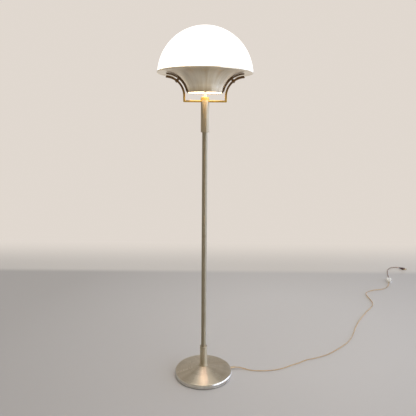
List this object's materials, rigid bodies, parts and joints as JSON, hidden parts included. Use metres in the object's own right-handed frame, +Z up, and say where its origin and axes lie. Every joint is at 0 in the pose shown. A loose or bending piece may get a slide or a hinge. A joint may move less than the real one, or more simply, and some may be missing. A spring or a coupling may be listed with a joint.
{
  "type": "mushroom floor lamp",
  "caption": "Floor lamp with an opal dome on a spun trumpet shade held by a two-armed fork, a slim pole with a collar, a round weighted base, and a clear cord with an in-line switch and a plug.",
  "frame": {"origin": "on the floor on the pole's axis, at the centre of the base's underside", "axes": "+Z up along the pole; the fork's arms lie along X; +Y is the lamp's back, so the front faces -Y"},
  "size_m": [1.7963, 1.7344, 1.5],
  "materials": {
    "satin_nickel": "brushed, satin nickel plated",
    "zinc_steel": "zinc plated",
    "rubber_black": "matt",
    "iron": "as cast",
    "felt_grey": "felt",
    "bush_dark": "matt",
    "shade_metal": "brushed, warm grey",
    "bronze": "dark bronze lacquer, satin",
    "opal": "opal, translucent",
    "lamp_glass": "frosted",
    "cap_metal": "plain",
    "holder_black": "moulded",
    "ceramic": "glazed ceramic",
    "contact_brass": "plain",
    "glass_mount": "clear",
    "cord_gold": "clear golden",
    "clear_fitting": "clear golden",
    "switch_white": "gloss",
    "plug_brown": "satin"
  },
  "bodies": {
    "stand": {"base_cover": "satin_nickel", "foot_ring": "rubber_black", "base_weight": "iron", "base_felt": "felt_grey", "base_washer": "zinc_steel", "base_nut": "zinc_steel", "base_nipple": "zinc_steel", "cord_gland": "clear_fitting", "cord_clamp": "zinc_steel", "clamp_screws": "zinc_steel", "foot_flange": "satin_nickel", "pole_plug_lower": "zinc_steel", "pole": "satin_nickel", "lower_collar": "satin_nickel", "collar_ring": "satin_nickel", "collar_bush": "bush_dark", "collar_set_screw": "zinc_steel", "stem_ring": "satin_nickel", "stem_sleeve": "satin_nickel", "pole_plug_upper": "zinc_steel", "upper_nipple": "zinc_steel", "stem_top_plug": "zinc_steel", "crossbar_cap": "bronze", "fork": "bronze", "saddle_right": "bronze", "saddle_left": "bronze", "spacer_right": "bronze", "spacer_left": "bronze", "shade_screws": "zinc_steel", "shade_nuts": "zinc_steel", "trumpet": "shade_metal", "holder_skirt": "holder_black", "holder_shell": "holder_black", "holder_core": "ceramic", "holder_thread": "contact_brass", "holder_contact": "contact_brass", "holder_terminals": "contact_brass", "bulb_cap": "cap_metal", "bulb_contact": "cap_metal", "bulb_glass": "lamp_glass", "bulb_mount": "glass_mount", "inner_cable": "cord_gold", "cord_to_switch": "cord_gold", "cord_to_plug": "cord_gold", "switch_bottom": "switch_white", "switch_top": "switch_white", "switch_pin": "zinc_steel", "switch_contacts": "contact_brass", "switch_screws": "zinc_steel", "plug_body": "plug_brown", "plug_pins": "contact_brass"},
    "rocker": {"switch_rocker": "switch_white"},
    "dome": {"dome": "opal"}
  },
  "joints": [
    {"name": "switch_rock", "type": "hinge", "parent": "stand", "child": "rocker", "pos_m": [1.351, 1.22, 0.0136], "axis": [0.9205, -0.3907, 0], "range_deg": [0, 14]},
    {"name": "dome_lift", "type": "slide", "parent": "stand", "child": "dome", "axis": [0, 0, 1], "range_m": [0, 0.12]}
  ]
}
